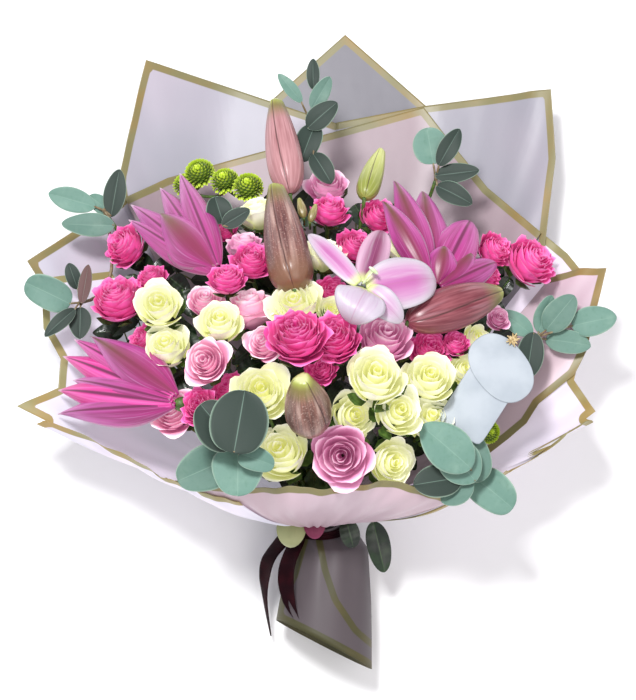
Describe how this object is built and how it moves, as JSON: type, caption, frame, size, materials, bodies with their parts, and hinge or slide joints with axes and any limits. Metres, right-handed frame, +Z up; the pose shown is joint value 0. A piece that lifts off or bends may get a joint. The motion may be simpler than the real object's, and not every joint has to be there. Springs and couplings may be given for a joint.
{
  "type": "wrapped flower bouquet",
  "caption": "Gift bouquet of lilies, roses, button chrysanthemums and eucalyptus in gold-edged film, tied with a ribbon and laid on its back.",
  "frame": {"origin": "middle of the bounding box's underside, on the table", "axes": "+Z up from the table towards the flowers' faces, +Y from the tied foot to the top of the wrap, +X to the right of someone who looks at the flowers with the foot nearest"},
  "size_m": [0.6066, 0.6867, 0.2962],
  "materials": {
    "cream_petals": "soft matt petals, greener at the heart",
    "mauve_petals": "soft matt petals, paler at their edges",
    "hot_pink_petals": "soft matt petals",
    "green_rays": "matt short rays",
    "lily_petals": "waxy petals with a paler edge",
    "pale_lily_petals": "waxy petals, pink along the rib",
    "lily_bud": "waxy closed petals",
    "green_bud": "waxy closed petals",
    "eucalyptus_leaf": "matt leaf with a blue bloom",
    "green_stem": "green living stem",
    "lilac_film": "frosted florist's film with a gold border",
    "pink_film": "frosted florist's film with a gold border",
    "satin_ribbon": "dark satin",
    "white_card": "plain smooth card"
  },
  "bodies": {
    "root": {"roses_white_left": "cream_petals", "rose_white_left_middle": "cream_petals", "roses_white_centre": "cream_petals", "rose_white_back_left": "cream_petals", "roses_white_front_left": "cream_petals", "roses_white_front_right": "cream_petals", "roses_white_right": "cream_petals", "rose_white_behind_bud": "cream_petals", "rose_white_behind_lily": "cream_petals", "rose_mauve_right": "mauve_petals", "rose_mauve_front": "mauve_petals", "roses_mauve_centre": "mauve_petals", "rose_mauve_left": "mauve_petals", "rose_mauve_left_front": "mauve_petals", "rose_mauve_left_back": "mauve_petals", "rose_mauve_back_left": "mauve_petals", "rose_mauve_back": "mauve_petals", "rose_mauve_far_right": "mauve_petals", "spray_pink_back_left": "hot_pink_petals", "spray_pink_left": "hot_pink_petals", "spray_pink_upper_left": "hot_pink_petals", "spray_pink_centre": "hot_pink_petals", "rose_pink_back": "hot_pink_petals", "roses_pink_behind_lily": "hot_pink_petals", "rose_pink_by_bud": "hot_pink_petals", "spray_pink_right": "hot_pink_petals", "spray_pink_front_left": "hot_pink_petals", "spray_pink_far_right": "hot_pink_petals", "button_mums_back": "green_rays", "button_mums_right": "green_rays", "lily_back_left": "lily_petals", "lily_left": "lily_petals", "lily_back_right": "lily_petals", "lily_open": "pale_lily_petals", "bud_back": "lily_bud", "bud_middle": "lily_bud", "bud_front": "lily_bud", "bud_right": "lily_bud", "bud_green": "green_bud", "eucalyptus_left": "eucalyptus_leaf", "eucalyptus_front_left": "eucalyptus_leaf", "eucalyptus_front_right": "eucalyptus_leaf", "eucalyptus_right": "eucalyptus_leaf", "eucalyptus_back_right": "eucalyptus_leaf", "eucalyptus_back": "eucalyptus_leaf", "eucalyptus_behind_lily": "eucalyptus_leaf", "stems": "green_stem", "film_back_centre": "lilac_film", "film_back_left": "lilac_film", "film_back_right": "lilac_film", "film_inner_pink": "pink_film", "film_right_low": "lilac_film", "film_right": "pink_film", "film_left_top": "lilac_film", "film_left_low": "lilac_film", "film_front": "pink_film", "film_foot": "lilac_film", "ribbon": "satin_ribbon", "card_rectangular": "white_card", "card_oval": "white_card"}
  },
  "joints": []
}
